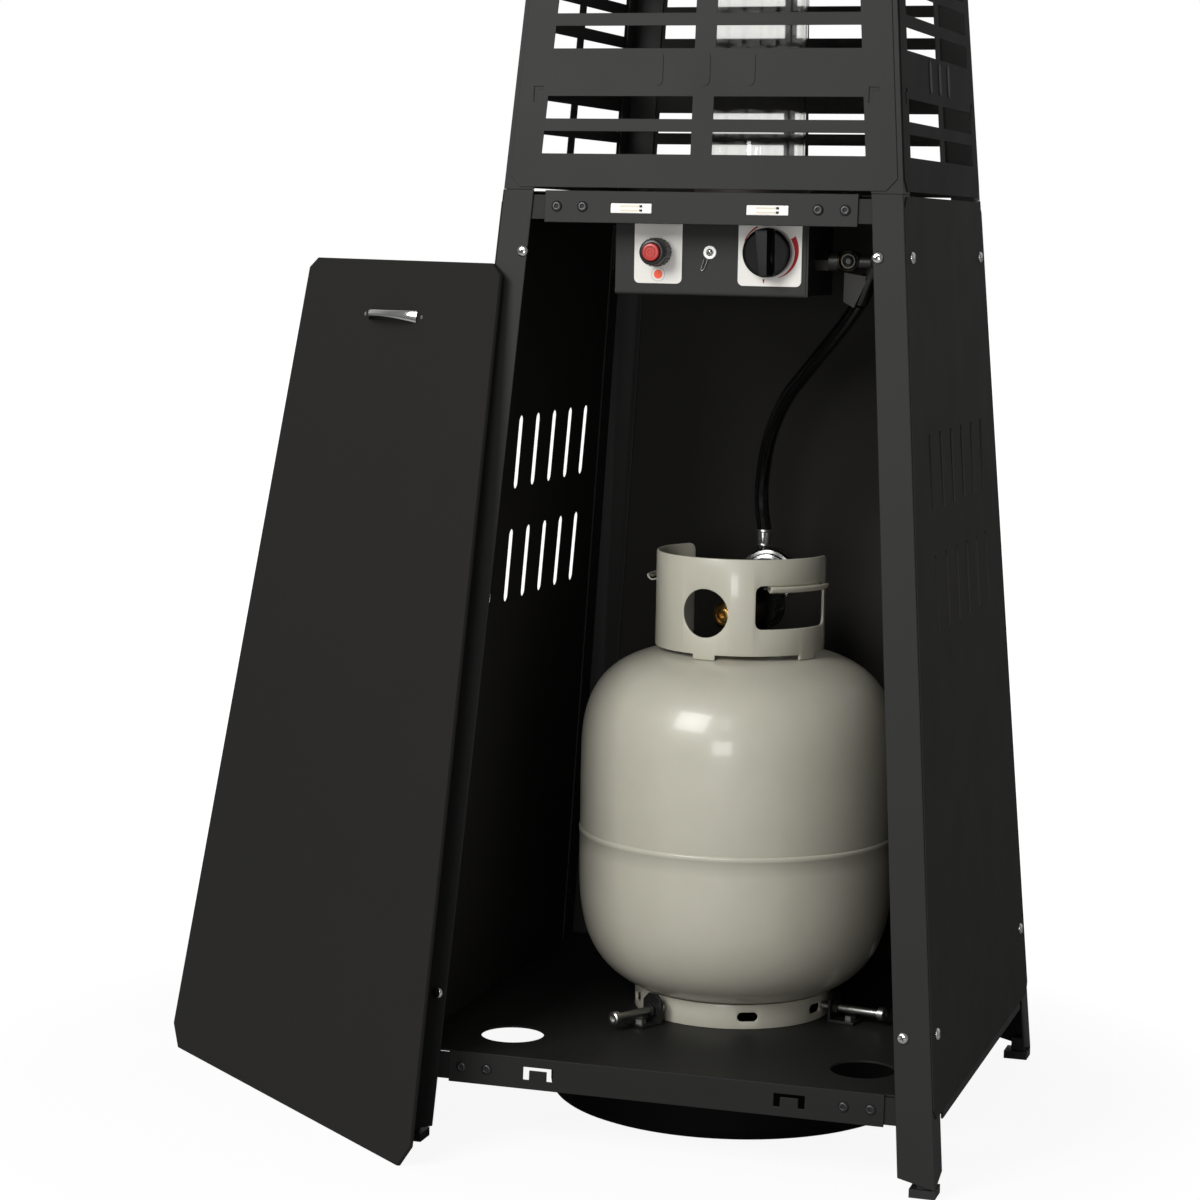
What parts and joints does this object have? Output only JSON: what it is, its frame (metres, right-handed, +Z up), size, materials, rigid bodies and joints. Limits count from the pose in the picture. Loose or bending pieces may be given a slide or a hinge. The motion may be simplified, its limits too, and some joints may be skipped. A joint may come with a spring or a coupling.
{
  "type": "pyramid patio heater",
  "caption": "Four-sided pyramid patio heater with a slotted tower round a flame tube, a reflector, and a tapered cabinet that holds a propane cylinder behind a lift-off panel.",
  "frame": {"origin": "middle of the footprint of the heater and its leaning front panel, on the floor", "axes": "+Z up, -Y out of the doorway, +X to the right as seen from the front"},
  "size_m": [0.8556, 0.6, 2.27],
  "materials": {
    "rubber_pad": "matt black moulded rubber",
    "frame_paint": "fine-textured charcoal powder coat",
    "rail_paint": "fine-textured charcoal powder coat",
    "board_paint": "satin black powder coat",
    "pan_paint": "satin black powder coat",
    "panel_paint": "fine-textured charcoal powder coat",
    "door_paint": "fine-textured charcoal powder coat",
    "guard_paint": "fine-textured charcoal powder coat",
    "black_screw": "blackened screw steel",
    "bright_screw": "bright plated steel",
    "handle_chrome": "polished chrome",
    "catch_white": "white moulded plastic",
    "strip_steel": "bare steel strip",
    "box_paint": "satin black paint",
    "label_plate": "satin off-white printed plate",
    "igniter_black": "knurled black plastic",
    "button_red": "red plastic",
    "knob_black": "gloss black plastic",
    "brass": "machined brass",
    "valve_alloy": "cast alloy",
    "plated_nut": "zinc-plated steel",
    "hose_rubber": "smooth black gas hose",
    "tag_plate": "blank grey tag",
    "regulator_alloy": "cast alloy, grey",
    "nut_black": "ribbed black plastic",
    "wheel_black": "black plastic",
    "tank_paint": "warm grey gloss paint",
    "clamp_black": "black painted steel",
    "plate_dark": "dark heat-stained sheet steel",
    "burner_steel": "stainless steel",
    "seal_dark": "dark heat-proof ring",
    "glass_clear": "clear borosilicate glass",
    "screen_steel": "stainless steel"
  },
  "bodies": {
    "heater": {"foot_pads": "rubber_pad", "lower_posts": "frame_paint", "bottom_board": "board_paint", "frame_brackets": "board_paint", "black_screws": "black_screw", "ballast_pan": "pan_paint", "side_panel_left": "panel_paint", "side_panel_right": "panel_paint", "rear_panel": "panel_paint", "frame_screws": "bright_screw", "top_rail": "rail_paint", "magnetic_catches": "catch_white", "catch_strips": "strip_steel", "control_box": "box_paint", "igniter_plate": "label_plate", "knob_plate": "label_plate", "igniter_body": "igniter_black", "gas_valve": "valve_alloy", "box_screw": "bright_screw", "inlet_nut": "plated_nut", "inlet_elbow": "brass", "gas_hose": "hose_rubber", "hose_ferrules": "plated_nut", "hose_tag": "tag_plate", "regulator": "regulator_alloy", "tank_valve": "brass", "tank_body": "tank_paint", "tank_collar": "tank_paint", "tank_foot_ring": "tank_paint", "clamp_brackets": "clamp_black", "bracket_screws": "plated_nut", "upper_posts": "frame_paint", "guard_front": "guard_paint", "guard_right": "guard_paint", "guard_rear": "guard_paint", "guard_left": "guard_paint", "burner_plate": "plate_dark", "burner_head": "burner_steel", "burner_pipe": "plated_nut", "pilot_burner": "burner_steel", "tube_seal": "seal_dark", "glass_tube": "glass_clear", "flame_screen": "screen_steel", "top_plate": "frame_paint", "reflector": "rail_paint", "reflector_studs": "bright_screw"},
    "front_panel_body": {"front_panel": "door_paint", "panel_handle": "handle_chrome", "handle_screws": "bright_screw", "panel_hooks": "door_paint"},
    "igniter_button_body": {"igniter_button": "button_red"},
    "stem_body": {"valve_stem": "brass"},
    "knob_body": {"gas_knob": "knob_black"},
    "handwheel_body": {"tank_handwheel": "wheel_black"},
    "coupling_nut_body": {"coupling_nut": "nut_black"},
    "clamp_body_1": {"clamp_bolt_1": "plated_nut"},
    "clamp_body_2": {"clamp_bolt_2": "plated_nut"},
    "clamp_body_3": {"clamp_bolt_3": "plated_nut"}
  },
  "joints": [
    {"name": "panel_tip", "type": "hinge", "parent": "heater", "child": "front_panel_body", "pos_m": [-0.2361, -0.14505, 0.00061], "axis": [0.7749, -0.632, 0], "range_deg": [0, 96]},
    {"name": "igniter_press", "type": "slide", "parent": "heater", "child": "igniter_button_body", "axis": [0, 1, 0], "range_m": [0, 0.004], "stiffness_N_per_m": 900, "springref_m": -0.004},
    {"name": "knob_push", "type": "slide", "parent": "heater", "child": "stem_body", "axis": [0, 1, 0], "range_m": [0, 0.0035], "stiffness_N_per_m": 1200, "springref_m": -0.003},
    {"name": "knob_turn", "type": "hinge", "parent": "stem_body", "child": "knob_body", "pos_m": [0.22812, -0.11738, 0.8365], "axis": [0, -1, 0], "range_deg": [0, 210]},
    {"name": "handwheel_turn", "type": "hinge", "parent": "heater", "child": "handwheel_body", "pos_m": [0.16761, 0.05312, 0.52], "axis": [0, 0, 1], "range_deg": [0, 720]},
    {"name": "coupling_turn", "type": "hinge", "parent": "heater", "child": "coupling_nut_body", "pos_m": [0.17075, 0.09801, 0.485], "axis": [0.0698, 0.9976, 0], "range_deg": [0, 1080]},
    {"name": "clamp_slide_1", "type": "slide", "parent": "heater", "child": "clamp_body_1", "axis": [-0.4848, -0.8746, 0], "range_m": [0, 0.005]},
    {"name": "clamp_slide_2", "type": "slide", "parent": "heater", "child": "clamp_body_2", "axis": [0.9781, -0.2079, 0], "range_m": [0, 0.005]},
    {"name": "clamp_slide_3", "type": "slide", "parent": "heater", "child": "clamp_body_3", "axis": [-0.4147, 0.91, 0], "range_m": [0, 0.005]}
  ]
}
